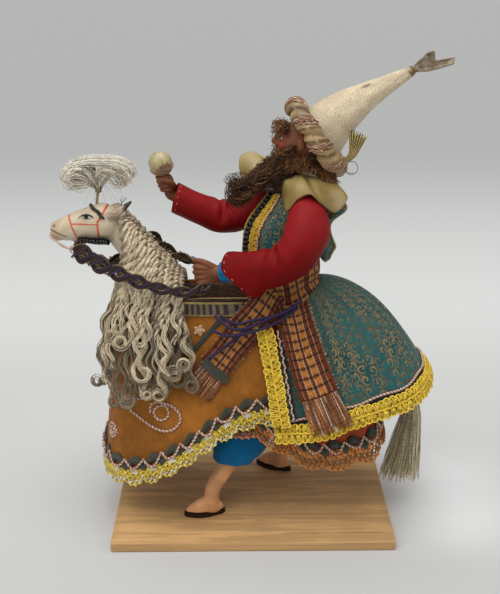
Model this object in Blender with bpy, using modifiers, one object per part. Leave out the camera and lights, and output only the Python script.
"""Costume doll on a wooden board: a bearded rider who wears a hobby horse at the waist.

Units are metres and +Z is up. The origin is the middle of the board's underside.
The horse looks along -X. The rider's left side is -Y and the right side is +Y.
"""

import math

import bmesh
import bpy
from mathutils import Matrix, Vector

MM = 0.001
FIT = 0.3 * MM  # gap between two pieces that touch

# Board
BOARD_LENGTH = 165 * MM
BOARD_WIDTH = 114 * MM
BOARD_THICK = 6 * MM
BOARD_EASE = 0.8 * MM

# Feet and legs
SOLE_LENGTH = 25 * MM
SOLE_WIDTH = 10.5 * MM
SOLE_THICK = 2.4 * MM
FOOT_HEIGHT = 8 * MM
LEG_RADIUS = 5.2 * MM
LEFT_ANKLE = Vector((-24, -25, 0)) * MM
RIGHT_ANKLE = Vector((19, 28, 0)) * MM
LEFT_FOOT_TURN = math.radians(190)
RIGHT_FOOT_TURN = math.radians(152)
PEG_RADIUS = 1.2 * MM
PEG_HEAD_RADIUS = 2.6 * MM
PEG_HEAD_THICK = 1 * MM
PEG_LENGTH = 26 * MM
HIP_HEIGHT = 101 * MM
HIP_SPREAD = 8 * MM

# Trousers
CLOTH = 1.2 * MM  # thickness of woven cloth, felt and thin leather
TROUSER_KNEE = 15 * MM
TROUSER_LOW = 42 * MM
TROUSER_DROP = 4 * MM  # from the hips down to the trousers' upper edge

# Torso and coat
WAIST_X = 21 * MM
WAIST_HEIGHT = 148 * MM
NECK_X = 26 * MM
TORSO_LENGTH = 58 * MM  # from the waist to the foot of the neck
NECK_HEIGHT = WAIST_HEIGHT + TORSO_LENGTH
CORE_RADIUS = 10.5 * MM
NECK_RADIUS = 4.2 * MM
SHOULDER_DROP = 12 * MM  # from the foot of the neck to the shoulder joints
SHOULDER_HEIGHT = NECK_HEIGHT - SHOULDER_DROP
SHOULDER_SPREAD = 26 * MM  # half the distance between the shoulder joints
CHEST_TURN = math.radians(22)  # the chest is turned towards the rider's left
ROD_RADIUS = 1.4 * MM
BODICE_DEPTH = 20 * MM
BODICE_HALF_WIDTH = 16.5 * MM
BRAID_WIDTH = 5 * MM
TRIM = 1 * MM  # thickness of braid, lace and ribbon

# Hobby horse: cover, rim and board
RIM_DROP = 8 * MM  # the rim lies this far below the rider's waist
RIM_HEIGHT = WAIST_HEIGHT - RIM_DROP
RIM_FRONT = -76 * MM
RIM_BACK = 50 * MM
RIM_HALF_WIDTH = 20 * MM
RIM_BAND_WALL = 2 * MM
RIM_BAND_DEPTH = 13 * MM
BODY_BOARD_THICK = 4 * MM
HEM_FRONT = -89 * MM
HEM_LOW = 40 * MM  # height at which the cover has its full hem sizes
HEM_BACK = 86 * MM
HEM_HALF_WIDTH = 48 * MM
FRONT_HEM = 38 * MM
SIDE_HEM = 78.5 * MM
REAR_HEM = 54 * MM
SQUARENESS = 2.5  # exponent of the oval plans
FLARE = 0.8  # below 1, the cover swells out near the rim
RIPPLE = 0.7 * MM
LACE_DEPTH = 8.5 * MM

# Coat skirt over the horse's back
SKIRT_BACK = 83 * MM
SKIRT_SIDE = 47 * MM
SKIRT_WAIST = 18.5 * MM
SKIRT_DIP = 7 * MM  # the skirt's upper edge is lower at the sides than at the back
SKIRT_SIDE_HEM = 72 * MM
SKIRT_BACK_HEM = 91 * MM
SKIRT_OPENING = math.radians(102)
SKIRT_FOLDS = 9
SKIRT_FOLD_DEPTH = 1.1 * MM
HEM_BRAID_WIDTH = 11 * MM

# Sash
SASH_WIDTH = 17 * MM
SASH_HEIGHT = 13 * MM
WAIST_CORD_RADIUS = 0.9 * MM

# Head, beard and hat
HEAD_RADIUS = 12.4 * MM
HEAD_LIFT = 21.2 * MM  # from the foot of the neck to the middle of the head
HEAD_CENTRE = Vector((NECK_X, 0, NECK_HEIGHT + HEAD_LIFT))
ROLL_CENTRE = HEAD_CENTRE + Vector((10, 0, 2.3)) * MM
ROLL_RADIUS = 19 * MM
ROLL_THICK = 5 * MM
HAT_LEAN = math.radians(54)  # from upright, towards the rider's back
HAT_RADIUS = 15.5 * MM
HAT_LENGTH = 62 * MM
HAT_TIP_RADIUS = 2.2 * MM
HAT_WALL = 2 * MM
HAT_TUCK = 3.1 * MM  # height of the edge that is tucked into the roll
RIBBON_LENGTH = 22 * MM

# Arms and mace
SLEEVE_WALL = 1.2 * MM
ARM_RADIUS = 2.6 * MM
WRIST_RADIUS = 4.2 * MM
WRIST_DEPTH = 3 * MM  # how far the hands reach into the sleeves
MACE_BALL = 7 * MM
MACE_SHAFT = 1.5 * MM
MACE_DEPTH = 8 * MM  # length of shaft inside the fist
MACE_COLLAR = 3.6 * MM

# Horse neck, head, mane, plume and tail
NECK_BASE = Vector((-52, 0, 0)) * MM
HORSE_NECK_RISE = 41 * MM  # from the rim to the top of the horse's neck
NECK_TOP = Vector((-77 * MM, 0, RIM_HEIGHT + HORSE_NECK_RISE))
HORSE_NECK_BASE_LENGTH = 13 * MM
HORSE_NECK_TOP_LENGTH = 8 * MM
HORSE_NECK_BASE_WIDTH = 9.2 * MM
SKULL_HALF_WIDTH = 8.8 * MM
SKULL_HALF_HEIGHT = 10.8 * MM
MANE_THICK = 4 * MM
PLUME_STEM_RADIUS = 0.9 * MM
REIN_RADIUS = 2.8 * MM

# Hand-chosen routes of the cords, in millimetres
LEFT_REIN = [
    (-107, -8.5, 169),
    (-101, -12, 165.5),
    (-94.5, -15.5, 162),
    (-87.5, -19.5, 160),
    (-79.5, -22.5, 158.5),
    (-68.5, -26, 155),
    (-57.5, -29, 151.3),
    (-44, -31, 149),
    (-34, -29.5, 148),
    (-27, -24.5, 148),
    (-21.5, -20.5, 147.8),
]
RIGHT_REIN = [
    (-107, 8.5, 169),
    (-101, 12, 166),
    (-94, 15.5, 164),
    (-86, 18.5, 164),
    (-77, 20.5, 166),
    (-67, 21, 167.5),
    (-58, 20, 169),
    (-49, 16.5, 168.5),
    (-41, 8.5, 164),
    (-35, -2, 158.5),
    (-33.8, -10.7, 156.8),
]
WAIST_CORD = [
    (25, -27, 140.5),
    (17, -29.6, 137),
    (9, -31.5, 135.3),
    (0.5, -33.4, 134.2),
    (-8, -34, 132.6),
    (-14, -33.4, 134),
    (-18, -31.6, 136.5),
]

CUTTER_LENGTH = 20 * MM


def collection(name):
    made = bpy.data.collections.new(name)
    bpy.context.scene.collection.children.link(made)
    return made


for old in list(bpy.data.objects):
    bpy.data.objects.remove(old, do_unlink=True)
PARTS = collection("hobby_horse_rider")
CUTTERS = collection("cutters")


# Curves and numbers


def mix(a, b, t):
    return a + (b - a) * t


def ease(low, high, value):
    """0 below low, 1 above high and smooth between them."""
    t = min(1.0, max(0.0, (value - low) / (high - low)))
    return t * t * (3 - 2 * t)


def through(stops, t):
    """The value at t, from 0 to 1, of a smooth curve through evenly spaced stops."""
    at = min(max(t, 0.0), 1.0) * (len(stops) - 1)
    i = min(int(at), len(stops) - 2)
    t = at - i
    b, c = stops[i], stops[i + 1]
    a = stops[i - 1] if i > 0 else b * 2 - c
    d = stops[i + 2] if i + 2 < len(stops) else c * 2 - b
    return 0.5 * (b * 2 + (c - a) * t + (a * 2 - b * 5 + c * 4 - d) * t**2 + (b * 3 - a - c * 3 + d) * t**3)


def lifted(point, a, b, distance):
    """The point of a surface at (a, b), moved off it by a distance along its normal."""
    step = 1e-3
    across = point(a + step, b) - point(a - step, b)
    down = point(a, b + step) - point(a, b - step)
    return point(a, b) + across.cross(down).normalized() * distance


def share_at(stops, height):
    """Where along a rising curve through stops a height is reached."""
    low, high = 0.0, 1.0
    for _ in range(30):
        middle = (low + high) / 2
        if through(stops, middle).z < height:
            low = middle
        else:
            high = middle
    return low


def millimetres(*points):
    return [Vector(p) * MM for p in points]


def from_place(place, *offsets):
    """Points given by their distances in millimetres from a place."""
    return [place + Vector(offset) * MM for offset in offsets]


def power(value, exponent):
    """A power that keeps the sign, for squared-off ovals."""
    return math.copysign(abs(value) ** exponent, value)


# Finishes


def finish(name, colour, roughness=0.8, metallic=0.0):
    made = bpy.data.materials.get(name)
    if made is None:
        made = bpy.data.materials.new(name)
        made.use_nodes = True
        shader = made.node_tree.nodes["Principled BSDF"]
        shader.inputs["Base Color"].default_value = (*colour, 1)
        shader.inputs["Roughness"].default_value = roughness
        shader.inputs["Metallic"].default_value = metallic
    return made


WOOD = finish("pale_wood", (0.47, 0.31, 0.15), 0.6)
STEEL = finish("nail_steel", (0.35, 0.35, 0.36), 0.4, 1.0)
DARK_SOLE = finish("dark_sole", (0.03, 0.015, 0.012), 0.5)
BOOT_LEATHER = finish("boot_leather", (0.33, 0.15, 0.09), 0.55)
BLUE_CLOTH = finish("blue_cloth", (0.02, 0.16, 0.36), 0.85)
PADDING = finish("wound_padding", (0.6, 0.52, 0.4), 0.9)
TEAL_BROCADE = finish("teal_brocade", (0.03, 0.2, 0.21), 0.7)
YELLOW_BRAID = finish("yellow_braid", (0.72, 0.5, 0.06), 0.75)
BLACK_BRAID = finish("black_braid", (0.015, 0.013, 0.02), 0.6)
CREAM_LEATHER = finish("cream_leather", (0.6, 0.5, 0.27), 0.5)
RED_LEATHER = finish("red_leather", (0.36, 0.02, 0.025), 0.5)
SKIN = finish("painted_skin", (0.36, 0.13, 0.07), 0.6)
PLAID = finish("plaid_weave", (0.42, 0.14, 0.04), 0.8)
PURPLE_CORD = finish("purple_cord", (0.06, 0.03, 0.14), 0.6)
BROWN_HAIR = finish("brown_hair", (0.07, 0.03, 0.015), 0.8)
HAT_LEATHER = finish("hat_leather", (0.58, 0.5, 0.4), 0.5)
ROLL_CLOTH = finish("roll_cloth", (0.7, 0.58, 0.42), 0.5)
GOLD_FRINGE = finish("gold_fringe", (0.45, 0.36, 0.15), 0.5)
IVORY = finish("ivory_paint", (0.68, 0.62, 0.46), 0.3)
COPPER = finish("copper_thread", (0.75, 0.42, 0.28), 0.35, 0.8)
HORSE_PAINT = finish("horse_paint", (0.72, 0.64, 0.5), 0.45)
FLOSS = finish("silk_floss", (0.6, 0.53, 0.42), 0.45)
GREY_FLOSS = finish("grey_floss", (0.42, 0.37, 0.29), 0.5)
RUST_FELT = finish("rust_felt", (0.48, 0.17, 0.03), 0.9)
BROWN_LEATHER = finish("brown_leather", (0.26, 0.08, 0.05), 0.7)
ORANGE_LACE = finish("orange_lace", (0.5, 0.2, 0.04), 0.8)
RIBBON = finish("striped_ribbon", (0.16, 0.1, 0.06), 0.7)
REIN_BRAID = finish("rein_braid", (0.05, 0.025, 0.03), 0.5)
RIM_CARD = finish("rim_card", (0.14, 0.11, 0.07), 0.8)


# Ways of making a piece


def keep(obj, material, group=PARTS):
    group.objects.link(obj)
    obj.data.materials.append(material)
    if obj.type == "MESH":
        obj.data.shade_smooth()
        obj.data.set_sharp_from_angle(angle=math.radians(45))
    return obj


def from_bmesh(name, bm, material, group=PARTS):
    mesh = bpy.data.meshes.new(name)
    bm.to_mesh(mesh)
    bm.free()
    return keep(bpy.data.objects.new(name, mesh), material, group)


def thicken(obj, wall):
    solidify = obj.modifiers.new("wall", "SOLIDIFY")
    solidify.thickness = wall
    solidify.offset = 0
    return obj


def surface(name, place, across, along, material, wall=None, ring=False, group=PARTS):
    """A grid laid out by place(u, v). With a wall it is a sheet; without, its open ends are filled."""
    bm = bmesh.new()
    bmesh.ops.create_grid(bm, x_segments=across, y_segments=along, size=0.5)
    for vertex in bm.verts:
        vertex.co = place(vertex.co.x + 0.5, vertex.co.y + 0.5)
    if ring:
        bmesh.ops.remove_doubles(bm, verts=bm.verts, dist=1e-6)
    if wall is None:
        bmesh.ops.holes_fill(bm, edges=bm.edges, sides=0)
    bmesh.ops.recalc_face_normals(bm, faces=bm.faces)
    made = from_bmesh(name, bm, material, group)
    return made if wall is None else thicken(made, wall)


def tube(name, path, radii, material, steps=12, roundness=3, wall=None, group=PARTS):
    """A round tube along a smooth curve through path. With a wall it is hollow and open at both ends."""
    data = bpy.data.curves.new(name, "CURVE")
    data.dimensions = "3D"
    data.bevel_depth = MM
    data.bevel_resolution = roundness
    data.use_fill_caps = wall is None
    spline = data.splines.new("POLY")
    spline.points.add(steps)
    for i, point in enumerate(spline.points):
        t = i / steps
        point.co = (*through(path, t), 1)
        point.radius = through(radii, t) / MM
    made = keep(bpy.data.objects.new(name, data), material, group)
    return made if wall is None else thicken(made, wall)


def as_mesh(obj):
    """A curve turned into a mesh with welded caps, so that it can be cut or joined."""
    bpy.context.view_layer.update()
    graph = bpy.context.evaluated_depsgraph_get()
    mesh = bpy.data.meshes.new_from_object(obj.evaluated_get(graph))
    bm = bmesh.new()
    bm.from_mesh(mesh)
    bmesh.ops.remove_doubles(bm, verts=bm.verts, dist=1e-6)
    bmesh.ops.recalc_face_normals(bm, faces=bm.faces)
    bm.to_mesh(mesh)
    bm.free()
    name, group, matrix = obj.name, obj.users_collection[0], obj.matrix_world.copy()
    bpy.data.objects.remove(obj, do_unlink=True)
    made = bpy.data.objects.new(name, mesh)
    made.matrix_world = matrix
    group.objects.link(made)
    return made


def upright(place, direction):
    """The matrix that puts local +Z along direction at place."""
    return Matrix.Translation(place) @ direction.to_track_quat("Z", "X").to_matrix().to_4x4()


def cylinder(name, start, end, radius, material, sides=16, group=PARTS):
    bm = bmesh.new()
    length = (end - start).length
    bmesh.ops.create_cone(bm, cap_ends=True, segments=sides, radius1=radius, radius2=radius, depth=length)
    made = from_bmesh(name, bm, material, group)
    made.matrix_world = upright((start + end) / 2, end - start)
    return made


def turned(name, profile, place, direction, material, steps=24):
    """A profile of (radius, height) spun about local Z. It runs down the outer side, top to bottom."""
    mesh = bpy.data.meshes.new(name)
    edges = [(i, i + 1) for i in range(len(profile) - 1)]
    mesh.from_pydata([(r, 0, z) for r, z in profile], edges, [])
    made = keep(bpy.data.objects.new(name, mesh), material)
    made.matrix_world = upright(place, direction)
    screw = made.modifiers.new("turn", "SCREW")
    screw.steps = screw.render_steps = steps
    screw.use_merge_vertices = True
    screw.merge_threshold = 1e-5
    screw.use_smooth_shade = True
    return made


def ellipsoid(name, centre, radii, material, turn=None, group=PARTS):
    bm = bmesh.new()
    bmesh.ops.create_uvsphere(bm, u_segments=14, v_segments=9, radius=1)
    matrix = Matrix.Translation(centre) @ (turn or Matrix.Identity(4)) @ Matrix.Diagonal((*radii, 1))
    bmesh.ops.transform(bm, matrix=matrix, verts=bm.verts)
    return from_bmesh(name, bm, material, group)


def boolean(obj, other, operation):
    modifier = obj.modifiers.new(operation.lower(), "BOOLEAN")
    modifier.operation = operation
    modifier.solver = "EXACT"
    modifier.object = other
    other.hide_render = True
    other.display_type = "WIRE"
    return obj


def cut(obj, other):
    return boolean(obj, other, "DIFFERENCE")


def join(obj, other):
    return boolean(obj, other, "UNION")


def hole(obj, start, end, radius):
    cutter = cylinder(f"{obj.name}_hole", start, end, radius, STEEL, group=CUTTERS)
    return cut(obj, cutter)


def pivot(name, place, *pieces):
    """An empty on a joint's axis that carries the pieces moving with it."""
    empty = bpy.data.objects.new(name, None)
    empty.location = place
    empty.empty_display_size = 5 * MM
    PARTS.objects.link(empty)
    for piece in pieces:
        piece.parent = empty
        piece.matrix_parent_inverse = Matrix.Translation(place).inverted()
    return empty


# Board, pegs and legs

BOARD_TOP = BOARD_THICK
SOLE_LOW = BOARD_TOP + FIT
SOLE_TOP = SOLE_LOW + SOLE_THICK
FOOT_LOW = SOLE_TOP + FIT
LEFT_HIP = Vector((WAIST_X - HIP_SPREAD * 0.9, -HIP_SPREAD, HIP_HEIGHT))
RIGHT_HIP = Vector((WAIST_X + HIP_SPREAD * 0.4, HIP_SPREAD, HIP_HEIGHT))


def board():
    bm = bmesh.new()
    bmesh.ops.create_cube(bm, size=1)
    size = Matrix.Diagonal((BOARD_LENGTH, BOARD_WIDTH, BOARD_THICK, 1))
    bmesh.ops.transform(bm, matrix=Matrix.Translation((0, 0, BOARD_THICK / 2)) @ size, verts=bm.verts)
    made = from_bmesh("base_board", bm, WOOD)
    bevel = made.modifiers.new("eased_edges", "BEVEL")
    bevel.width = BOARD_EASE
    bevel.segments = 2
    for ankle in (LEFT_ANKLE, RIGHT_ANKLE):
        below = ankle - Vector((0, 0, PEG_HEAD_THICK))
        hole(made, below, ankle + Vector((0, 0, BOARD_THICK + PEG_HEAD_THICK)), PEG_RADIUS + FIT)
        hole(made, below, ankle + Vector((0, 0, PEG_HEAD_THICK + 2 * FIT)), PEG_HEAD_RADIUS + FIT)
    return made


def peg(side, ankle):
    """A flat-headed nail that goes up through the board and the sole into the leg."""
    low = FIT
    profile = [
        (0, low + PEG_LENGTH),
        (PEG_RADIUS, low + PEG_LENGTH),
        (PEG_RADIUS, low + PEG_HEAD_THICK),
        (PEG_HEAD_RADIUS, low + PEG_HEAD_THICK),
        (PEG_HEAD_RADIUS, low),
        (0, low),
    ]
    return turned(f"{side}_foot_peg", profile, ankle, Vector((0, 0, 1)), STEEL, steps=12)


def sole(side, ankle, turn):
    """A shoe sole: a pointed oval with a narrow waist, pushed up to its thickness."""
    bm = bmesh.new()
    bmesh.ops.create_circle(bm, cap_ends=True, segments=24, radius=1)
    for vertex in bm.verts:
        along, side_way = vertex.co.x, vertex.co.y
        width = SOLE_WIDTH / 2 * (1 - 0.16 * ease(0.3, -0.7, along) - 0.1 * abs(along))
        vertex.co = Vector((SOLE_LENGTH * (0.5 * along + 0.2), width * side_way, SOLE_LOW))
    pushed = bmesh.ops.extrude_face_region(bm, geom=bm.faces[:])["geom"]
    raised = [g for g in pushed if isinstance(g, bmesh.types.BMVert)]
    bmesh.ops.translate(bm, vec=(0, 0, SOLE_THICK), verts=raised)
    bmesh.ops.recalc_face_normals(bm, faces=bm.faces)
    place = Matrix.Translation(ankle) @ Matrix.Rotation(turn, 4, "Z")
    bmesh.ops.transform(bm, matrix=place, verts=bm.verts)
    made = from_bmesh(f"{side}_sole", bm, DARK_SOLE)
    return hole(made, ankle, ankle + Vector((0, 0, CUTTER_LENGTH)), PEG_RADIUS + FIT)


def leg_line(ankle, hip):
    """Points of a leg's middle line from the foot up to the hip."""
    low = ankle + Vector((0, 0, FOOT_LOW - 2 * MM))
    shin = ankle + Vector((0, 0, FOOT_LOW + 13 * MM))
    knee = mix(ankle, hip, 0.52) + Vector((-3 * MM, 0, -4 * MM))
    return [low, shin, mix(shin, knee, 0.5), knee, hip + Vector((0, 0, 4 * MM))]


def boot(side, ankle, turn, hip):
    """Leather leg and foot in one, with a flat underside and a flat top under the hip."""
    radii = [LEG_RADIUS * k for k in (0.86, 0.9, 1.0, 0.95, 1.0)]
    leg = as_mesh(tube(f"{side}_boot", leg_line(ankle, hip), radii, BOOT_LEATHER, steps=10, roundness=2))
    forward = Matrix.Rotation(turn, 4, "Z")
    low = ankle + Vector((0, 0, FOOT_LOW))
    middle = low + forward @ Vector((SOLE_LENGTH * 0.2, 0, 0))
    radii = (SOLE_LENGTH * 0.48, SOLE_WIDTH * 0.45, FOOT_HEIGHT)
    join(leg, ellipsoid(f"{side}_foot_form", middle, radii, BOOT_LEATHER, forward, CUTTERS))
    hole(leg, low - Vector((0, 0, CUTTER_LENGTH)), low, SOLE_LENGTH)
    top = Vector((hip.x, hip.y, HIP_HEIGHT - FIT))
    hole(leg, top, top + Vector((0, 0, CUTTER_LENGTH)), SOLE_LENGTH)
    return hole(leg, ankle, ankle + Vector((0, 0, PEG_LENGTH + 2 * FIT)), PEG_RADIUS + FIT)


def trouser(side, ankle, hip, low):
    """A wide cloth leg, gathered on the leg at the hip, with soft folds towards its open end."""
    line = leg_line(ankle, hip)
    gathered = LEG_RADIUS + CLOTH / 2 + 1.5 * FIT
    radii = [gathered, TROUSER_KNEE * 0.72, TROUSER_KNEE * 0.9, TROUSER_KNEE, TROUSER_KNEE * 0.9]
    first, last = share_at(line, HIP_HEIGHT - TROUSER_DROP), share_at(line, low)

    def place(u, v):
        angle = 2 * math.pi * u
        fold = 1 + 0.05 * ease(0.35, 0.9, v) * math.sin(5 * angle + 1.2)
        radius = through(radii, v) * fold
        at = mix(first, last, v)
        upward = (through(line, at + 0.02) - through(line, at - 0.02)).normalized()
        upward = mix(upward, Vector((0, 0, 1)), ease(0.3, 1, v)).normalized()
        across = Vector((upward.z, 0, -upward.x)).normalized()
        round_way = across * math.cos(angle) + upward.cross(across) * math.sin(angle)
        return through(line, at) + round_way * radius

    return surface(f"{side}_trouser", place, 15, 6, BLUE_CLOTH, wall=CLOTH, ring=True)


# Torso, coat bodice and chest trims

CORE_PATH = [
    Vector((WAIST_X, 0, HIP_HEIGHT)),
    Vector((WAIST_X, 0, mix(HIP_HEIGHT, WAIST_HEIGHT, 0.6))),
    Vector((WAIST_X - 1 * MM, 0, mix(WAIST_HEIGHT, NECK_HEIGHT, 0.15))),
    Vector((WAIST_X - 1 * MM, 0, mix(WAIST_HEIGHT, NECK_HEIGHT, 0.6))),
    Vector((NECK_X - 1 * MM, 0, NECK_HEIGHT)),
    Vector((NECK_X, 0, HEAD_CENTRE.z - HEAD_RADIUS * 0.35)),
]
SHOULDER_AXIS = Vector((-math.sin(CHEST_TURN), math.cos(CHEST_TURN), 0))
SHOULDER_MIDDLE = Vector((WAIST_X, 0, SHOULDER_HEIGHT))
LEFT_SHOULDER = SHOULDER_MIDDLE - SHOULDER_AXIS * SHOULDER_SPREAD
RIGHT_SHOULDER = SHOULDER_MIDDLE + SHOULDER_AXIS * SHOULDER_SPREAD
SHOULDER_ROD = SHOULDER_SPREAD + 2.5 * MM


def torso_core():
    """Padding wound on a wire from the hips up to the neck, which ends in the head."""
    radii = [CORE_RADIUS, CORE_RADIUS, CORE_RADIUS, CORE_RADIUS * 1.1, NECK_RADIUS, NECK_RADIUS]
    made = as_mesh(tube("torso_core", CORE_PATH, radii, PADDING, steps=15, roundness=4))
    reach = SHOULDER_AXIS * SHOULDER_ROD
    return hole(made, SHOULDER_MIDDLE - reach, SHOULDER_MIDDLE + reach, ROD_RADIUS + FIT)


def shoulder_rod():
    reach = SHOULDER_AXIS * SHOULDER_ROD
    return cylinder("shoulder_rod", SHOULDER_MIDDLE - reach, SHOULDER_MIDDLE + reach, ROD_RADIUS, STEEL, 12)


BODICE_LOW = WAIST_HEIGHT - SKIRT_DIP + 2 * MM
BODICE_TOP = NECK_HEIGHT + 0.5 * MM


def bodice_point(angle, rise):
    """The coat's chest at an angle from straight ahead. Rise is 0 at the waist and 1 at the neck."""
    depth = through([0.82, 1.0, 1.0, 0.93, 0.66, 0.38], rise) * BODICE_DEPTH
    width = through([0.94, 1.0, 1.0, 1.0, 0.84, 0.44], rise) * BODICE_HALF_WIDTH
    shift = through([-2.0, -4.0, -4.5, -3.5, 0.5, 4.5], rise) * MM
    ahead, aside = depth * math.cos(angle), width * math.sin(angle)
    facing = Matrix.Rotation(math.pi + CHEST_TURN, 3, "Z")
    height = mix(BODICE_LOW, BODICE_TOP, rise)
    return Vector((WAIST_X + shift, 0, height)) + facing @ Vector((ahead, aside, 0))


def coat_bodice():
    made = surface(
        "coat_bodice",
        lambda u, v: bodice_point(2 * math.pi * u, v),
        20,
        7,
        TEAL_BROCADE,
        wall=CLOTH,
        ring=True,
    )
    reach = SHOULDER_AXIS * SHOULDER_ROD
    return hole(made, SHOULDER_MIDDLE - reach, SHOULDER_MIDDLE + reach, ROD_RADIUS + FIT)


def chest_trim(name, middle, width, material):
    """An upright strip on the coat front. Middle is its distance round from the front's centre line."""
    off = CLOTH / 2 + FIT + TRIM / 2 + 0.3 * MM

    def place(u, v):
        angle = (middle + width * (u - 0.5)) / BODICE_DEPTH
        return lifted(bodice_point, angle, mix(0.3, 0.86, v), off)

    return surface(name, place, 1, 8, material, wall=TRIM)


# Hobby horse: cover, lace, rim and board


def cover_plan(height):
    """Front end, back end and half-width of the cover's oval at a height."""
    flare = max(0.0, (RIM_HEIGHT - height) / (RIM_HEIGHT - HEM_LOW)) ** FLARE
    front = mix(RIM_FRONT, HEM_FRONT, flare)
    back = mix(RIM_BACK, HEM_BACK, flare)
    return front, back, mix(RIM_HALF_WIDTH, HEM_HALF_WIDTH, flare)


def front_hem(x):
    return mix(FRONT_HEM, SIDE_HEM, ease(RIM_FRONT, 8 * MM, x))


def rear_hem(x):
    dip = ease(-12 * MM, 46 * MM, x)
    return mix(SIDE_HEM - 5 * MM, REAR_HEM, dip) + 6 * MM * ease(66 * MM, HEM_BACK, x)


def oval(front, back, half_width, angle):
    """A point of a squared oval; angle 0 is the horse's back end and a quarter turn the rider's right."""
    x = (front + back) / 2 + (back - front) / 2 * power(math.cos(angle), 2 / SQUARENESS)
    return x, half_width * power(math.sin(angle), 2 / SQUARENESS)


def cover_point(angle, height):
    """A point of the horse's cover, with soft ripples towards the hem."""
    front, back, half_width = cover_plan(height)
    ripple = RIPPLE * ease(RIM_HEIGHT - 30 * MM, FRONT_HEM + 15 * MM, height) * math.sin(9 * angle)
    x, y = oval(front - ripple, back + ripple, half_width + ripple, angle)
    return Vector((x, y, height))


def hem_at(angle, hem):
    """Height of a hem at an angle round the cover."""
    height = HEM_LOW
    for _ in range(6):
        height = hem(cover_point(angle, height).x)
    return height


def cover_side(x, height):
    """How far the cover stands out sideways from the middle at a place along it."""
    front, back, half_width = cover_plan(min(height, RIM_HEIGHT))
    share = abs(x - (front + back) / 2) / ((back - front) / 2)
    return half_width * max(0.0, 1 - min(share, 1.0) ** SQUARENESS) ** (1 / SQUARENESS)


FRONT_SPAN = (math.radians(79), math.radians(281))
REAR_SPAN = (math.radians(-97), math.radians(97))
REAR_INSET = -(CLOTH + TRIM + 4 * FIT)


def cover_panel(name, span, hem, inset, material):
    """One half of the horse's cover, from the rim down to its hem."""

    def place(u, v):
        angle = mix(*span, u)
        return lifted(cover_point, angle, mix(RIM_HEIGHT, hem_at(angle, hem), v), inset)

    return surface(name, place, 24, 5, material, wall=CLOTH)


def hem_lace(name, span, hem, inset, material):
    """A band of lace laid on the outside of a hem, most of it hanging below."""
    off = inset + CLOTH / 2 + FIT + TRIM / 2

    def place(u, v):
        angle = mix(*span, u)
        height = hem_at(angle, hem) + mix(-0.7, 0.3, v) * LACE_DEPTH
        return lifted(cover_point, angle, height, off)

    return surface(name, place, 24, 1, material, wall=TRIM)


def rim_ring(name, outer, wall, low, high, material):
    """An upright oval band inside the cover's upper edge."""
    inset = RIM_HALF_WIDTH - outer - wall / 2

    def place(u, v):
        x, y = oval(RIM_FRONT + inset, RIM_BACK - inset, RIM_HALF_WIDTH - inset, 2 * math.pi * u)
        return Vector((x, y, mix(low, high, v)))

    return surface(name, place, 36, 1, material, wall=wall, ring=True)


BAND_OUTER = RIM_HALF_WIDTH + REAR_INSET - CLOTH / 2 - 2 * FIT
BAND_LOW = RIM_HEIGHT - RIM_BAND_DEPTH
BODY_BOARD_LOW = BAND_LOW
BODY_BOARD_TOP = BODY_BOARD_LOW + BODY_BOARD_THICK


def rim_band():
    outer = BAND_OUTER - RIM_BAND_WALL
    return rim_ring("rim_band", outer, RIM_BAND_WALL, BAND_LOW, RIM_HEIGHT, RIM_CARD)


def body_board():
    """Oval board inside the rim band: the neck stands on it and the rider passes through it."""
    inset = RIM_HALF_WIDTH - (BAND_OUTER - RIM_BAND_WALL - 2 * FIT)
    bm = bmesh.new()
    bmesh.ops.create_circle(bm, cap_ends=True, segments=36, radius=1)
    for vertex in bm.verts:
        angle = math.atan2(vertex.co.y, vertex.co.x)
        x, y = oval(RIM_FRONT + inset, RIM_BACK - inset, RIM_HALF_WIDTH - inset, angle)
        vertex.co = Vector((x, y, BODY_BOARD_LOW))
    pushed = bmesh.ops.extrude_face_region(bm, geom=bm.faces[:])["geom"]
    raised = [g for g in pushed if isinstance(g, bmesh.types.BMVert)]
    bmesh.ops.translate(bm, vec=(0, 0, BODY_BOARD_THICK), verts=raised)
    bmesh.ops.recalc_face_normals(bm, faces=bm.faces)
    made = from_bmesh("body_board", bm, WOOD)
    waist = Vector((WAIST_X, 0, BODY_BOARD_LOW - CUTTER_LENGTH / 2))
    return hole(made, waist, waist + Vector((0, 0, 2 * CUTTER_LENGTH)), CORE_RADIUS + 2 * FIT)


def rim_ribbon():
    """Striped ribbon round the outside of the cover's upper edge, in front of the rider."""
    span = (math.radians(118), math.radians(262))
    off = CLOTH / 2 + FIT + TRIM / 2 + 0.2 * MM
    depth = 7 * MM

    def place(u, v):
        return lifted(cover_point, mix(*span, u), RIM_HEIGHT - FIT - v * depth, off)

    return surface("rim_ribbon", place, 22, 1, RIBBON, wall=TRIM)


# Coat skirt, its braid and the sash ends


def skirt_point(angle, out):
    """The coat skirt at an angle from the horse's back end. Out is 0 at the waist and 1 at the hem."""
    ahead, aside = math.cos(angle), math.sin(angle)
    squared = abs(ahead / SKIRT_BACK) ** SQUARENESS + abs(aside / SKIRT_SIDE) ** SQUARENESS
    reach = squared ** (-1 / SQUARENESS)
    back_share = max(ahead, 0.0) ** 2
    top = mix(WAIST_HEIGHT - SKIRT_DIP, WAIST_HEIGHT, back_share)
    hem = mix(SKIRT_SIDE_HEM, SKIRT_BACK_HEM, back_share)
    radius = mix(SKIRT_WAIST, reach, out)
    radius += SKIRT_FOLD_DEPTH * max(out, 0.0) ** 2 * math.sin(SKIRT_FOLDS * angle)
    height = mix(top, hem, max(out, 0.0) ** mix(1.25, 1.45, back_share))
    return Vector((WAIST_X + radius * ahead, radius * aside, height))


def over_skirt(angle, out, distance):
    return lifted(skirt_point, angle, out, -distance)


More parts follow.
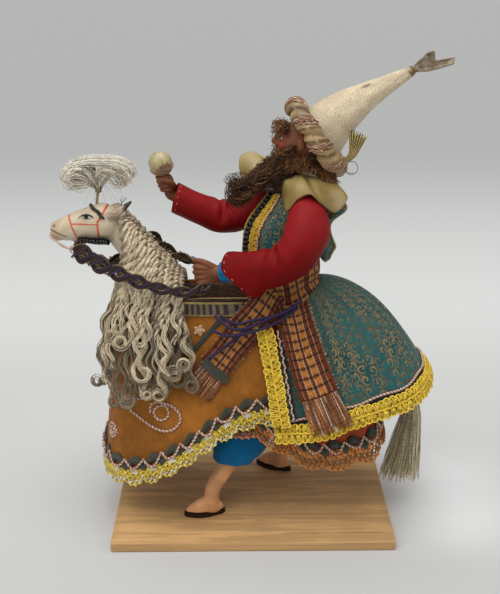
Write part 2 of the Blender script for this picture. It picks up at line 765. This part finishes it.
def coat_skirt():
    return surface(
        "coat_skirt",
        lambda u, v: skirt_point(mix(-SKIRT_OPENING, SKIRT_OPENING, u), v),
        32,
        7,
        TEAL_BROCADE,
        wall=CLOTH,
    )


ON_BRAID = CLOTH / 2 + FIT + TRIM + 0.2 * MM  # middle of the thick braid above the cloth's middle


def skirt_hem_braid():
    """Gathered yellow braid along the hem, half of it standing below the cloth."""
    share = HEM_BRAID_WIDTH / (SKIRT_BACK - SKIRT_WAIST)
    trim = 2 * TRIM
    edge = SKIRT_OPENING - math.radians(1)
    return surface(
        "skirt_hem_braid",
        lambda u, v: over_skirt(mix(-edge, edge, u), 1 + share * (v - 0.55), ON_BRAID),
        32,
        1,
        YELLOW_BRAID,
        wall=trim,
    )


def skirt_front_braid(side):
    """Gathered yellow braid up the coat skirt's front edge."""
    way = -1 if side == "left" else 1
    share = HEM_BRAID_WIDTH / (SKIRT_BACK - SKIRT_WAIST)
    top, low = 0.2, 1 - share * 0.55 - 0.04

    def place(u, v):
        out = mix(top, low, v)
        radius = (skirt_point(way * SKIRT_OPENING, out).xy - Vector((WAIST_X, 0))).length
        angle = SKIRT_OPENING + (0.45 - u) * HEM_BRAID_WIDTH / radius
        return over_skirt(way * angle, out, ON_BRAID)

    return surface(f"{side}_front_braid", place, 2, 8, YELLOW_BRAID, wall=2 * TRIM)


SASH_ON_SKIRT = ON_BRAID + TRIM + 2 * FIT + TRIM / 2


def side_sash_end():
    """Sash end that hangs over the coat skirt, with its fringe."""

    def place(u, v):
        out = mix(0.1, 1.0, v)
        radius = (skirt_point(-math.pi / 2, out).xy - Vector((WAIST_X, 0))).length
        middle = -math.pi / 2 + math.radians(mix(-4, 13, out))
        return over_skirt(middle + (u - 0.5) * SASH_WIDTH / radius, out, SASH_ON_SKIRT)

    return surface("side_sash_end", place, 4, 9, PLAID, wall=TRIM)


RIM_MIDDLE = Vector((0, 0, RIM_HEIGHT))
FRONT_END_TOP, FRONT_END_LOW = from_place(RIM_MIDDLE, (4, 0, -3), (-31, 0, -46))
SASH_ON_COVER = CLOTH / 2 + FIT + TRIM / 2 + RIPPLE
SASH_ON_RIBBON = SASH_ON_COVER + FIT + TRIM


def front_sash_end():
    """Sash end that lies forward over the horse's flank, with its fringe."""
    fall = FRONT_END_LOW - FRONT_END_TOP
    across = Vector((fall.z, 0, -fall.x)).normalized()

    def place(u, v):
        at = FRONT_END_TOP + fall * v + across * SASH_WIDTH * (u - 0.5)
        off = mix(SASH_ON_RIBBON, SASH_ON_COVER, ease(RIM_HEIGHT - 6 * MM, RIM_HEIGHT - 14 * MM, at.z))
        side = cover_side(at.x, at.z) + off + 5 * MM * ease(0.3, 0, v)
        return Vector((at.x, -side, at.z))

    return surface("front_sash_end", place, 4, 9, PLAID, wall=TRIM)


def sash_wrap():
    """Sash wound round the waist over the coat, lower at the front than at the back."""
    off = CLOTH / 2 + FIT + TRIM + 0.2 * MM
    tall = BODICE_TOP - BODICE_LOW

    def place(u, v):
        angle = 2 * math.pi * u
        at = bodice_point(angle, 0)
        back_share = ease(-4 * MM, 14 * MM, at.x - WAIST_X)
        low = mix(WAIST_HEIGHT - SKIRT_DIP, WAIST_HEIGHT, back_share) + CLOTH / 2 + 2 * FIT
        rise = (mix(low, low + SASH_HEIGHT, v) - BODICE_LOW) / tall
        return lifted(bodice_point, angle, rise, off + 0.5 * MM * math.sin(math.pi * v))

    return surface("sash_wrap", place, 22, 3, PLAID, wall=2 * TRIM, ring=True)


def waist_cord():
    """Twisted cord slung from the waist across both sash ends."""
    path = millimetres(*WAIST_CORD)
    return tube("waist_cord", path, [WAIST_CORD_RADIUS] * len(path), PURPLE_CORD, steps=16, roundness=1)


# Collar and hanging sleeves


COLLAR_SEAT = BODICE_TOP + CLOTH + FIT


def collar(side):
    """Soft leather collar leaf over a shoulder, with a point in front and one behind."""
    way = -1 if side == "left" else 1
    ahead = math.radians(60 if side == "left" else 24)
    behind = math.radians(62 if side == "left" else 66)

    def place(u, v):
        angle = CHEST_TURN + way * (math.pi / 2 + mix(-behind, ahead, u))
        corner = abs(2 * u - 1) ** 2
        radius = mix(7.4 * MM, 25 * MM, v) + 5 * MM * v * corner
        height = COLLAR_SEAT + 3.6 * MM * math.sin(math.pi * v) - (5 * MM + 5 * MM * corner) * v**2
        if side == "right":
            height += 9 * MM * ease(0.5, 1.0, u) * v**2
        direction = Vector((math.cos(angle), math.sin(angle), 0))
        return Vector((NECK_X - 2 * MM * v, 0, height)) + direction * radius

    return surface(f"{side}_collar", place, 10, 4, CREAM_LEATHER, wall=CLOTH)


def left_hanging_sleeve():
    """Open coat sleeve that hangs empty behind the arm and ends in a point."""
    top = Vector((LEFT_SHOULDER.x + 8.4 * MM, LEFT_SHOULDER.y + 7 * MM, SHOULDER_HEIGHT + 4 * MM))
    fall = 32 * MM

    def place(u, v):
        half = 5 * MM * (1 - 0.6 * ease(0.7, 1.0, v))
        bow = 3 * MM * math.sin(math.pi * v) + 1.5 * MM * math.cos(math.pi * (u - 0.5))
        return top + Vector((bow, half * (1 - 2 * u), -fall * v))

    return surface("left_hanging_sleeve", place, 3, 6, TEAL_BROCADE, wall=CLOTH)


# Arms, hands and mace

LEFT_ARM = from_place(
    LEFT_SHOULDER,
    (-1, 0, 3),
    (0.5, -5, -8),
    (-1.7, -10.4, -17),
    (-13.7, -10.4, -26.5),
    (-28.7, -4.9, -31.5),
    (-42.7, 2.6, -35),
)
LEFT_SLEEVE = [r * MM for r in (7.5, 11, 11.6, 10.6, 9.6, 9.6)]
RIGHT_ARM = from_place(
    RIGHT_SHOULDER,
    (0, 1, 0),
    (-11.3, 3.9, -11),
    (-26.3, 4.4, -17),
    (-41.3, 2.9, -12),
    (-57.8, 1.4, -3.5),
)
RIGHT_SLEEVE = [r * MM for r in (7, 8, 7.6, 6.2, 5.4)]
LEFT_REACH = (LEFT_ARM[-1] - LEFT_ARM[-2]).normalized()
RIGHT_REACH = (RIGHT_ARM[-1] - RIGHT_ARM[-2]).normalized()
MACE_AXIS = Vector((-0.27, 0, 0.963)).normalized()
RIGHT_WRIST = RIGHT_ARM[-1]
RIGHT_FIST = RIGHT_WRIST + Vector((-3.6, -0.5, 8.5)) * MM
FIST_TOP = RIGHT_FIST + MACE_AXIS * 5 * MM
LEFT_WRIST = LEFT_ARM[-1]
LEFT_FIST = LEFT_WRIST + Vector((-14, 5.5, -1.5)) * MM
LEFT_HAND_START = LEFT_WRIST - LEFT_REACH * WRIST_DEPTH
RIGHT_HAND_START = RIGHT_WRIST - RIGHT_REACH * WRIST_DEPTH


def sleeve(side, path, radii):
    """Loose leather sleeve, hollow and open at the cuff, with a hole for the shoulder rod."""
    made = tube(f"{side}_sleeve", path, radii, RED_LEATHER, steps=11, roundness=3, wall=SLEEVE_WALL)
    reach = SHOULDER_AXIS * (SHOULDER_ROD + FIT)
    return hole(as_mesh(made), SHOULDER_MIDDLE - reach, SHOULDER_MIDDLE + reach, ROD_RADIUS + FIT)


def arm(side, path, hand_start):
    """Padded wire arm inside the sleeve, from the shoulder rod to the hand."""
    shoulder = LEFT_SHOULDER if side == "left" else RIGHT_SHOULDER
    end = hand_start - (path[-1] - path[-2]).normalized() * 2 * FIT
    inner = [shoulder, *path[1:-1], end]
    radii = [ARM_RADIUS * 1.25] + [ARM_RADIUS] * (len(inner) - 1)
    made = as_mesh(tube(f"{side}_arm", inner, radii, PADDING, steps=12, roundness=2))
    reach = SHOULDER_AXIS * (SHOULDER_ROD + FIT)
    return hole(made, SHOULDER_MIDDLE - reach, SHOULDER_MIDDLE + reach, ROD_RADIUS + FIT)


def left_cuff():
    """Blue shirt cuff that shows between sleeve and hand."""
    way = (LEFT_FIST - LEFT_WRIST).normalized()
    start = LEFT_WRIST + way * 1.2 * MM
    radius = WRIST_RADIUS + CLOTH / 2 + 1.5 * FIT
    return tube("left_cuff", [start, start + way * 4.4 * MM], [radius] * 2, BLUE_CLOTH, steps=2, wall=CLOTH)


def left_hand():
    """Fist that closes on the reins."""
    way = (LEFT_FIST - LEFT_WRIST).normalized()
    path = [LEFT_HAND_START, LEFT_WRIST, LEFT_WRIST + way * 6 * MM, LEFT_FIST, LEFT_FIST + way * 6 * MM]
    radii = [ARM_RADIUS, WRIST_RADIUS, WRIST_RADIUS, 6.2 * MM, 3.4 * MM]
    return tube("left_hand", path, radii, SKIN, steps=10, roundness=2)


def right_hand():
    """Fist with a hole in its top for the mace."""
    path = [RIGHT_HAND_START, RIGHT_WRIST + RIGHT_REACH * 1.2 * MM, RIGHT_FIST, FIST_TOP]
    radii = [ARM_RADIUS, ARM_RADIUS * 1.1, 5.4 * MM, 3.6 * MM]
    made = as_mesh(tube("right_hand", path, radii, SKIN, steps=8, roundness=2))
    low = FIST_TOP - MACE_AXIS * (MACE_DEPTH + 2 * FIT)
    return hole(made, low, FIST_TOP + MACE_AXIS * CUTTER_LENGTH, MACE_SHAFT + FIT)


def mace():
    """Turned mace: a ball on a short shaft that is pushed into the fist."""
    ball_low = 3.2 * MM
    centre = ball_low + MACE_BALL * 0.95
    start = math.asin(MACE_SHAFT / MACE_BALL)
    profile = []
    for i in range(10):
        angle = mix(0, math.pi - start, i / 9)
        profile.append((MACE_BALL * math.sin(angle), centre + MACE_BALL * math.cos(angle)))
    profile += [(MACE_SHAFT, -MACE_DEPTH), (0, -MACE_DEPTH)]
    return turned("mace", profile, FIST_TOP, MACE_AXIS, IVORY, steps=16)


def mace_collar():
    """Ring of copper thread where the ball meets the shaft."""
    low, high = FIT, 2.6 * MM
    inner = MACE_SHAFT + FIT
    profile = [
        (inner, high),
        (MACE_COLLAR * 0.75, high),
        (MACE_COLLAR, mix(low, high, 0.5)),
        (MACE_COLLAR * 0.85, low),
        (inner, low),
        (inner, high),
    ]
    return turned("mace_collar", profile, FIST_TOP, MACE_AXIS, COPPER, steps=12)


# Head, hair, beard and hat

HAT_AXIS = Vector((math.sin(HAT_LEAN), 0, math.cos(HAT_LEAN)))
HAT_BASE = ROLL_CENTRE + HAT_AXIS * 1.2 * MM
SOCKET_TOP = CORE_PATH[-1].z


def head():
    """Round head with a nose; the neck goes up into its socket."""
    made = ellipsoid("head", HEAD_CENTRE, [HEAD_RADIUS] * 3, SKIN)
    nose = HEAD_CENTRE + Vector((-HEAD_RADIUS - 0.6 * MM, 0, 1.5 * MM))
    join(made, ellipsoid("nose_form", nose, [r * MM for r in (2.6, 2, 2.6)], SKIN, group=CUTTERS))
    low = Vector((NECK_X, 0, NECK_HEIGHT))
    return hole(made, low, Vector((NECK_X, 0, SOCKET_TOP + FIT)), NECK_RADIUS + FIT)


def beard():
    """Long beard that falls forward from the chin over the chest."""
    path = from_place(
        HEAD_CENTRE, (-7.5, 0, -8.2), (-16, 0, -13.2), (-23.5, 0, -21.2), (-31.5, 0, -28.7), (-38, 0, -35.2)
    )
    widths = [r * MM for r in (8, 10.5, 10.5, 8.5, 3.5)]
    depths = [r * MM for r in (3, 4.6, 5, 4.4, 2)]

    def place(u, v):
        angle = 2 * math.pi * u
        here, ahead = through(path, v), through(path, min(v + 0.05, 1))
        back = through(path, max(v - 0.05, 0))
        fall = (ahead - back).normalized()
        out = Vector((fall.z, 0, -fall.x))
        lock = 1 + 0.07 * math.sin(4 * angle + 9 * v)
        wide = through(widths, v) * math.cos(angle) * lock
        deep = through(depths, v) * math.sin(angle) * lock
        return here + Vector((0, wide, 0)) + out * deep

    made = surface("beard", place, 16, 10, BROWN_HAIR, ring=True)
    cutter = ellipsoid("beard_seat", HEAD_CENTRE, [HEAD_RADIUS + FIT] * 3, BROWN_HAIR, group=CUTTERS)
    return cut(made, cutter)


def hair():
    """Curly hair round the back of the head under the roll."""
    reach = HEAD_RADIUS + 3.2 * MM
    path = []
    for degrees in (-118, -70, -25, 25, 70, 118):
        angle = math.radians(degrees)
        height = -9.2 * MM - 1.8 * MM * math.cos(angle)
        round_way = Vector((0.86 * math.cos(angle), 0.9 * math.sin(angle), 0))
        path.append(HEAD_CENTRE + round_way * reach + Vector((0, 0, height)))
    radii = [r * MM for r in (1.8, 2.6, 2.8, 2.8, 2.6, 1.8)]
    made = as_mesh(tube("hair", path, radii, BROWN_HAIR, steps=14, roundness=2))
    cutter = ellipsoid("hair_seat", HEAD_CENTRE, [HEAD_RADIUS + FIT] * 3, BROWN_HAIR, group=CUTTERS)
    return cut(made, cutter)


def hat_roll():
    """Padded roll round the head at the foot of the hat."""
    bpy.ops.mesh.primitive_torus_add(
        major_segments=24, minor_segments=8, major_radius=ROLL_RADIUS, minor_radius=ROLL_THICK
    )
    made = bpy.context.object
    made.name = "hat_roll"
    for group in made.users_collection:
        group.objects.unlink(made)
    made.matrix_world = upright(ROLL_CENTRE, HAT_AXIS)
    return keep(made, ROLL_CLOTH)


def hat_cone():
    """Tall leather cone, hollow and open towards the head."""
    profile = [
        (0, HAT_LENGTH),
        (HAT_TIP_RADIUS, HAT_LENGTH - 1 * MM),
        (mix(HAT_RADIUS, HAT_TIP_RADIUS, 0.5) + 0.4 * MM, HAT_LENGTH / 2),
        (HAT_RADIUS, HAT_TUCK),
        (HAT_RADIUS - 2.5 * MM, 0),
        (HAT_RADIUS - 2.5 * MM - HAT_WALL, 0),
        (HAT_RADIUS - HAT_WALL * 1.1, HAT_TUCK),
        (mix(HAT_RADIUS, HAT_TIP_RADIUS, 0.5) - HAT_WALL, HAT_LENGTH / 2),
        (0, HAT_LENGTH - 6 * MM),
    ]
    return turned("hat_cone", profile, HAT_BASE, HAT_AXIS, HAT_LEATHER, steps=24)


def hat_ribbon():
    """Folded strip of leather tied to the hat's tip, forked like a swallow's tail."""
    tip = HAT_BASE + HAT_AXIS * (HAT_LENGTH + FIT)
    lift = Vector((-HAT_AXIS.z, 0, HAT_AXIS.x))
    away = (HAT_AXIS + Vector((0.55, 0, -0.25))).normalized()

    def place(u, v):
        half = mix(1.4 * MM, 5.2 * MM, ease(0, 0.8, v))
        fork = 7 * MM * ease(0.45, 1, v) * (1 - abs(2 * u - 1))
        cup = 2.2 * MM * v * abs(2 * u - 1)
        spread = lift * half * (2 * u - 1) + Vector((0, -cup, 0.6 * MM))
        return tip + away * (RIBBON_LENGTH * v - fork) + spread

    return surface("hat_ribbon", place, 6, 6, HAT_LEATHER, wall=CLOTH)


def hat_tassel():
    """Fan of gilt fringe pinned on the back of the roll."""
    round_way = math.radians(60)
    behind = Vector((math.cos(HAT_LEAN), 0, -math.sin(HAT_LEAN)))
    ring = Vector((0, -math.cos(round_way), 0)) + behind * math.sin(round_way)
    foot = ROLL_CENTRE + ring * ROLL_RADIUS + HAT_AXIS * (ROLL_THICK + FIT + TRIM / 2)
    lift = Vector((0.34, -0.22, 0.91)).normalized()
    aside = Vector((0.9, 0, -0.42))

    def place(u, v):
        half = mix(1.2 * MM, 6.5 * MM, v)
        return foot + lift * 17 * MM * v + aside * half * (2 * u - 1 + 0.5 * v)

    return surface("hat_tassel", place, 4, 4, GOLD_FRINGE, wall=TRIM)


# Horse: neck and head, mane, plume, reins and tail


def neck_section(rise):
    """Centre, half-length and half-width of the neck at a rise from 0 at the board to 1 at the top."""
    low = BODY_BOARD_TOP + FIT
    centre = Vector((mix(NECK_BASE.x, NECK_TOP.x, rise**1.2), 0, mix(low, NECK_TOP.z, rise)))
    length = mix(HORSE_NECK_BASE_LENGTH, HORSE_NECK_TOP_LENGTH, rise**0.8)
    return centre, length, mix(HORSE_NECK_BASE_WIDTH, 7.5 * MM, rise)


SKULL_MIDDLES = from_place(
    NECK_TOP, (5, 0, 1), (-2, 0, 0.5), (-9, 0, 1), (-18, 0, 0), (-28, 0, -2.5), (-37.5, 0, -4.5)
)
SKULL_HEIGHTS = [SKULL_HALF_HEIGHT * k for k in (0.46, 0.88, 1.0, 0.83, 0.69, 0.42)]
SKULL_WIDTHS = [SKULL_HALF_WIDTH * k for k in (0.57, 0.95, 1.0, 0.8, 0.7, 0.48)]


def skull_point(u, v):
    """The horse's head, u round from the top and v from the poll to the muzzle."""
    angle = 2 * math.pi * u
    tall = through(SKULL_HEIGHTS, v) * math.cos(angle)
    wide = through(SKULL_WIDTHS, v) * math.sin(angle)
    return through(SKULL_MIDDLES, v) + Vector((0, wide, tall))


def horse_head():
    """Carved neck and head in one piece, with small ears laid back."""

    def neck(u, v):
        centre, length, width = neck_section(v)
        angle = 2 * math.pi * u
        return centre + Vector((length * math.cos(angle), width * math.sin(angle), 0))

    made = surface("horse_head", neck, 14, 6, HORSE_PAINT, ring=True)
    join(made, surface("skull_form", skull_point, 14, 10, HORSE_PAINT, ring=True, group=CUTTERS))
    for way in (-1, 1):
        root = NECK_TOP + Vector((0, way * 4.5, 7)) * MM
        tip = root + Vector((8, way * 1.5, 6.5)) * MM
        radii = [r * MM for r in (2.4, 2.2, 0.7)]
        path = [root, mix(root, tip, 0.5), tip]
        ear = tube(f"ear_form_{way + 1}", path, radii, HORSE_PAINT, steps=4, roundness=2, group=CUTTERS)
        join(made, as_mesh(ear))
    return hole(made, PLUME_FOOT, PLUME_FOOT + Vector((0, 0, CUTTER_LENGTH)), PLUME_STEM_RADIUS + FIT)


PLUME_FOOT, PLUME_STEM_TOP = from_place(NECK_TOP, (-12, 0, 5), (-12, 0, 23.8))


def throat_strap():
    """Short velvet strap under the jaw."""
    off = CLOTH / 2 + FIT + 0.2 * MM

    def place(u, v):
        return lifted(skull_point, mix(0.33, 0.67, u), mix(0.36, 0.57, v), off)

    return surface("throat_strap", place, 8, 3, BLACK_BRAID, wall=CLOTH)


def mane_side(x, z):
    """Distance of the mane's middle from the horse's middle plane, clear of the neck and the cover."""
    rise = min(1.0, max(0.0, (z - BODY_BOARD_TOP) / (NECK_TOP.z - BODY_BOARD_TOP)))
    beside_neck = max(neck_section(rise)[2], SKULL_HALF_WIDTH) + 3 * FIT
    beside_cover = cover_side(mix(x, NECK_BASE.x, 0.35), z) + CLOTH / 2 + TRIM + 5 * FIT
    share = ease(RIM_HEIGHT + 26 * MM, RIM_HEIGHT + 4 * MM, z)
    return mix(beside_neck, max(beside_cover, beside_neck), share) + MANE_THICK / 2 + FIT


def mane(side):
    """Twisted floss stitched along the crest, hanging over one side of the neck and the cover."""
    way = -1 if side == "left" else 1
    crest = from_place(RIM_MIDDLE, (-66.5, 0, 48.5), (-59.5, 0, 35.5), (-50, 0, 22), (-35.5, 0, 7.5))
    low = from_place(RIM_MIDDLE, (-91.5, 0, -48), (-72, 0, -54), (-52, 0, -50), (-29, 0, -23))
    roof = 0.2

    def place(u, v):
        fall = max(0.0, v - roof * 0.5) / (1 - roof * 0.5)
        at = mix(through(crest, u), through(low, u), fall)
        x = at.x - 11 * MM * (1 - u) ** 2 * math.sin(math.pi * fall)
        wave = 0.8 * MM * math.sin(9 * math.pi * u + 5 * v) * v
        over = math.sin(math.pi / 2 * min(v / roof, 1.0))
        return Vector((x, way * (mix(3 * FIT, mane_side(x, at.z), over) + wave), at.z))

    return surface(f"{side}_mane", place, 10, 10, FLOSS, wall=MANE_THICK)


def plume_stem():
    low = PLUME_FOOT + Vector((0, 0, FIT))
    return cylinder("plume_stem", low, PLUME_STEM_TOP, PLUME_STEM_RADIUS, GOLD_FRINGE, 10)


def plume():
    """Floss plume that curls over to the front and to the back."""
    front = from_place(PLUME_STEM_TOP, (-14, 0, -2.8), (-17.5, 0, 4.2), (-11, 0, 10.7), (0, 0, 6.2))
    path = front + from_place(PLUME_STEM_TOP, (10, 0, 10.2), (19, 0, 7.7), (20, 0, 0.2))
    radii = [r * MM for r in (3, 5, 6, 6.2, 5.6, 5, 3)]
    return tube("plume", path, radii, FLOSS, steps=18, roundness=3)


def rein(side):
    """Braided rein from the mouth along the neck to the left fist."""
    path = millimetres(*(LEFT_REIN if side == "left" else RIGHT_REIN))
    return tube(f"{side}_rein", path, [REIN_RADIUS] * len(path), REIN_BRAID, steps=26, roundness=2)


def bit_cord():
    """Thin copper cord through the mouth that ties the two reins."""
    half = from_place(NECK_TOP, (-30.6, 8.1, -11.6), (-33.8, 6.2, -9.4), (-38.4, 3.4, -7.2))
    path = half + [Vector((p.x, -p.y, p.z)) for p in reversed(half)]
    return tube("bit_cord", path, [0.5 * MM] * len(path), COPPER, steps=12, roundness=1)


TAIL_SEAT_HEIGHT = RIM_HEIGHT - 46 * MM
TAIL_SEAT = Vector((cover_plan(TAIL_SEAT_HEIGHT)[1] - 2.3 * MM, -3 * MM, TAIL_SEAT_HEIGHT))
TAIL_ROOT = from_place(TAIL_SEAT, (0, 0, 0), (12, 0, 1.5), (24.2, 0, -2.5), (28.9, 0, -13.9))
TAIL_HINGE = TAIL_ROOT[-1] + Vector((0.1, 0, -0.8)) * MM


def tail_root():
    """Bound end of the tail, sewn to the rear cover under the coat."""
    radii = [r * MM for r in (2.8, 2.8, 2.8, 3)]
    return tube("tail_root", TAIL_ROOT, radii, GREY_FLOSS, steps=8, roundness=2)


def tail():
    path = from_place(TAIL_HINGE, (0, 0, 0), (-0.2, -1, -18.3), (0, -3, -39.3), (0.2, -4, -61.3))
    return tube("tail", path, [r * MM for r in (1.4, 5, 7.6, 6.5)], GREY_FLOSS, steps=9, roundness=3)


def build():
    board()
    for side, ankle, turn, hip, drop in (
        ("left", LEFT_ANKLE, LEFT_FOOT_TURN, LEFT_HIP, TROUSER_LOW),
        ("right", RIGHT_ANKLE, RIGHT_FOOT_TURN, RIGHT_HIP, TROUSER_LOW),
    ):
        peg(side, ankle)
        sole(side, ankle, turn)
        boot(side, ankle, turn, hip)
        trouser(side, ankle, hip, drop)
    torso_core()
    shoulder_rod()
    coat_bodice()
    chest_trim("chest_cord", 0, 4 * MM, BLACK_BRAID)
    chest_trim("left_chest_braid", 5.2 * MM, BRAID_WIDTH, YELLOW_BRAID)
    chest_trim("right_chest_braid", -5.2 * MM, BRAID_WIDTH, YELLOW_BRAID)
    cover_panel("front_cover", FRONT_SPAN, front_hem, 0, RUST_FELT)
    cover_panel("rear_cover", REAR_SPAN, rear_hem, REAR_INSET, BROWN_LEATHER)
    hem_lace("front_lace", FRONT_SPAN, front_hem, 0, YELLOW_BRAID)
    hem_lace("rear_lace", REAR_SPAN, rear_hem, REAR_INSET, ORANGE_LACE)
    rim_band()
    body_board()
    rim_ribbon()
    coat_skirt()
    skirt_hem_braid()
    for side in ("left", "right"):
        skirt_front_braid(side)
        collar(side)
        mane(side)
        rein(side)
    left_hanging_sleeve()
    sash_wrap()
    side_sash_end()
    front_sash_end()
    waist_cord()
    sleeve("left", LEFT_ARM, LEFT_SLEEVE)
    arm("left", LEFT_ARM, LEFT_HAND_START)
    left_cuff()
    left_hand()
    mace_pivot = pivot("mace_pivot", FIST_TOP, mace(), mace_collar())
    pivot(
        "right_arm_pivot",
        RIGHT_SHOULDER,
        sleeve("right", RIGHT_ARM, RIGHT_SLEEVE),
        arm("right", RIGHT_ARM, RIGHT_HAND_START),
        right_hand(),
        mace_pivot,
    )
    hat = [hat_roll(), hat_cone(), hat_ribbon(), hat_tassel()]
    pivot("head_pivot", CORE_PATH[-1], head(), beard(), hair(), *hat)
    horse_head()
    throat_strap()
    pivot("plume_pivot", PLUME_STEM_TOP, plume_stem(), plume())
    bit_cord()
    tail_root()
    pivot("tail_pivot", TAIL_HINGE, tail())


build()
